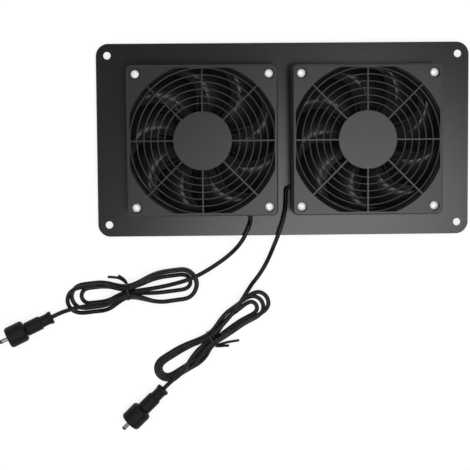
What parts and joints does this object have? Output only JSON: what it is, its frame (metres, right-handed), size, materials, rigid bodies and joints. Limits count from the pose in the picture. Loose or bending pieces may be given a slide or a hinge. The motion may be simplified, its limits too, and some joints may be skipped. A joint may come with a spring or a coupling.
{
  "type": "solar exhaust fan",
  "caption": "Axial exhaust fans side by side on a flat mounting plate, behind ringed finger guards, with tied cables that end in waterproof plugs.",
  "frame": {"origin": "under the middle of the mounting plate, on the surface that the screw ends rest on", "axes": "+X along the plate from the left fan to the right fan, +Y across the plate away from the plugs, +Z out of the finger guards"},
  "size_m": [0.3815, 0.3137, 0.0378],
  "materials": {
    "plate_black": "satin black coat",
    "fan_plastic": "fine moulded texture",
    "guard_plastic": "satin moulded",
    "impeller_plastic": "satin moulded",
    "nickel_steel": "bright nickel plate",
    "zinc_steel": "zinc plate",
    "motor_steel": "plain",
    "magnet": "dull",
    "bronze": "plain",
    "copper_wire": "enamelled",
    "board": "solder mask",
    "cable_jacket": "smooth jacket",
    "tie_plastic": "smooth",
    "plug_plastic": "satin moulded",
    "seal_rubber": "smooth",
    "cap_plastic": "plain"
  },
  "bodies": {
    "base": {"mounting_plate": "plate_black", "fan_frame_left": "fan_plastic", "motor_mount_left": "fan_plastic", "bearing_bush_left": "bronze", "bearing_cap_left": "cap_plastic", "stator_core_left": "motor_steel", "stator_windings_left": "copper_wire", "circuit_board_left": "board", "motor_lead_left": "cable_jacket", "guard_screws_left": "nickel_steel", "flat_washers_left": "zinc_steel", "hex_nuts_left": "zinc_steel", "finger_guard_left": "guard_plastic", "plug_body_left": "plug_plastic", "plug_seal_left": "seal_rubber", "plug_sleeve_left": "nickel_steel", "plug_insulator_left": "cap_plastic", "cable_lead_left": "cable_jacket", "cable_hank_left": "cable_jacket", "cable_tail_left": "cable_jacket", "twist_tie_left": "tie_plastic", "fan_frame_right": "fan_plastic", "motor_mount_right": "fan_plastic", "bearing_bush_right": "bronze", "bearing_cap_right": "cap_plastic", "stator_core_right": "motor_steel", "stator_windings_right": "copper_wire", "circuit_board_right": "board", "motor_lead_right": "cable_jacket", "guard_screws_right": "nickel_steel", "flat_washers_right": "zinc_steel", "hex_nuts_right": "zinc_steel", "finger_guard_right": "guard_plastic", "plug_body_right": "plug_plastic", "plug_seal_right": "seal_rubber", "plug_sleeve_right": "nickel_steel", "plug_insulator_right": "cap_plastic", "cable_lead_right": "cable_jacket", "cable_hank_right": "cable_jacket", "cable_tail_right": "cable_jacket", "twist_tie_right": "tie_plastic"},
    "rotor_left": {"impeller_left": "impeller_plastic", "rotor_yoke_left": "motor_steel", "rotor_magnet_left": "magnet", "rotor_shaft_left": "motor_steel", "retaining_clip_left": "motor_steel"},
    "coupling_left": {"plug_coupling_left": "plug_plastic"},
    "rotor_right": {"impeller_right": "impeller_plastic", "rotor_yoke_right": "motor_steel", "rotor_magnet_right": "magnet", "rotor_shaft_right": "motor_steel", "retaining_clip_right": "motor_steel"},
    "coupling_right": {"plug_coupling_right": "plug_plastic"}
  },
  "joints": [
    {"name": "fan_spin_left", "type": "hinge", "parent": "base", "child": "rotor_left", "pos_m": [-0.06525, 0, 0.02], "axis": [0, 0, 1], "continuous": true},
    {"name": "fan_spin_right", "type": "hinge", "parent": "base", "child": "rotor_right", "pos_m": [0.06525, 0, 0.02], "axis": [0, 0, 1], "continuous": true},
    {"name": "coupling_turn_left", "type": "hinge", "parent": "base", "child": "coupling_left", "pos_m": [-0.18875, -0.1427, 0.00515], "axis": [-0.8984, -0.4189, 0.1318], "continuous": true},
    {"name": "coupling_turn_right", "type": "hinge", "parent": "base", "child": "coupling_right", "pos_m": [-0.0987, -0.2023, 0.0087], "axis": [-0.712, -0.7022, 0], "continuous": true}
  ]
}
